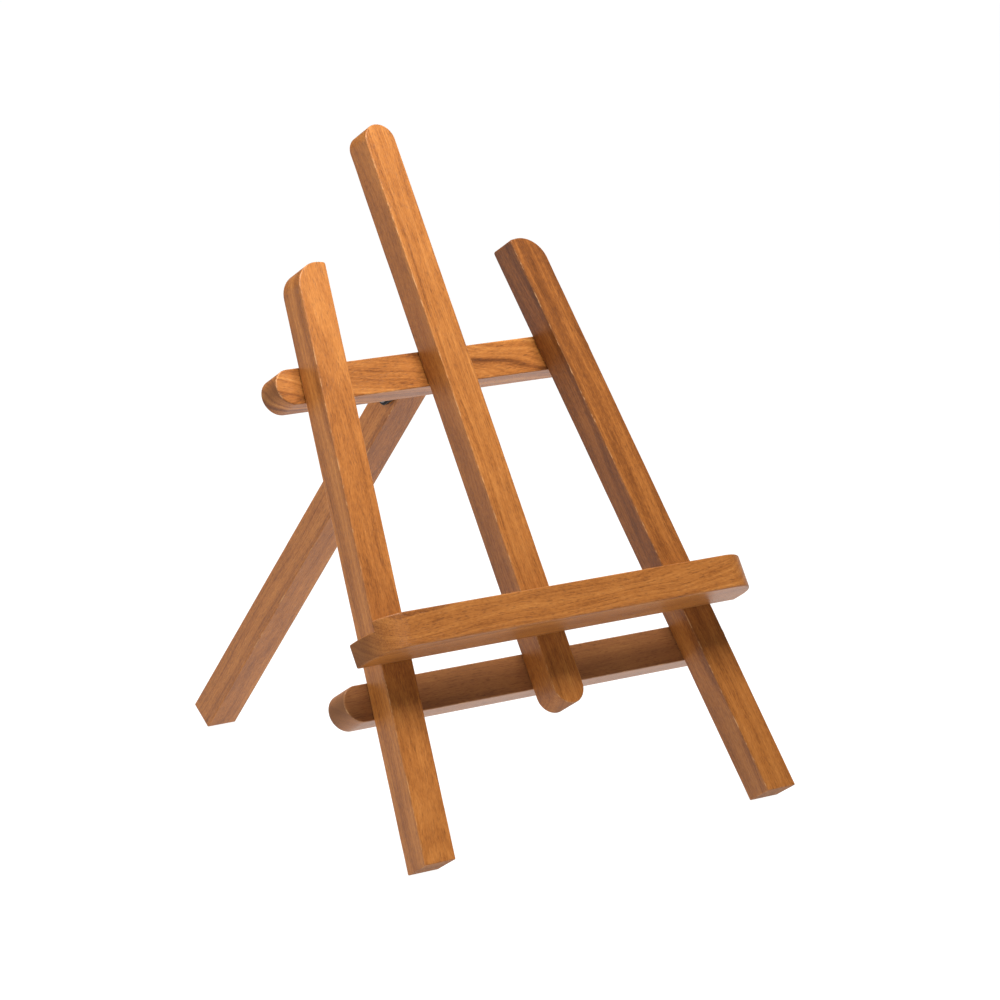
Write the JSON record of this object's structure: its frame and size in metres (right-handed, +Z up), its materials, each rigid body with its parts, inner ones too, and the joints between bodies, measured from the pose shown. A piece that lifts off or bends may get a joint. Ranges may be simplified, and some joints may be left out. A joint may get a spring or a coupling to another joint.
{
  "type": "plate display stand",
  "caption": "Wooden table easel for showing one plate: a leaning three-stick frame with a lipped shelf and a folding rear leg.",
  "frame": {"origin": "centre of the open stand's footprint box, on the surface that the feet stand on", "axes": "+X along the crossbars to the viewer's right, +Y from the front feet towards the rear leg's foot, +Z up"},
  "size_m": [0.203, 0.2876, 0.2816],
  "materials": {
    "teak": "oiled satin",
    "black_bracket": "satin black",
    "rivet_steel": "darkened",
    "screw_steel": "zinc plated"
  },
  "bodies": {
    "front_frame": {"left_leg": "teak", "right_leg": "teak", "centre_upright": "teak", "upper_crossbar": "teak", "lower_crossbar": "teak", "shelf": "teak", "hinge_bracket": "black_bracket", "pivot_rivet": "rivet_steel", "bracket_screw_left": "screw_steel", "bracket_screw_right": "screw_steel", "upper_screw_left": "screw_steel", "upper_screw_right": "screw_steel", "lower_screw_left": "screw_steel", "lower_screw_centre": "screw_steel", "lower_screw_right": "screw_steel", "shelf_screw_left": "screw_steel", "shelf_screw_centre": "screw_steel", "shelf_screw_right": "screw_steel"},
    "rear_leg": {"rear_leg": "teak"}
  },
  "joints": [
    {"name": "rear_leg_fold", "type": "hinge", "parent": "front_frame", "child": "rear_leg", "pos_m": [0, -0.00396, 0.16775], "axis": [-1, 0, 0], "range_deg": [0, 74.2]}
  ]
}
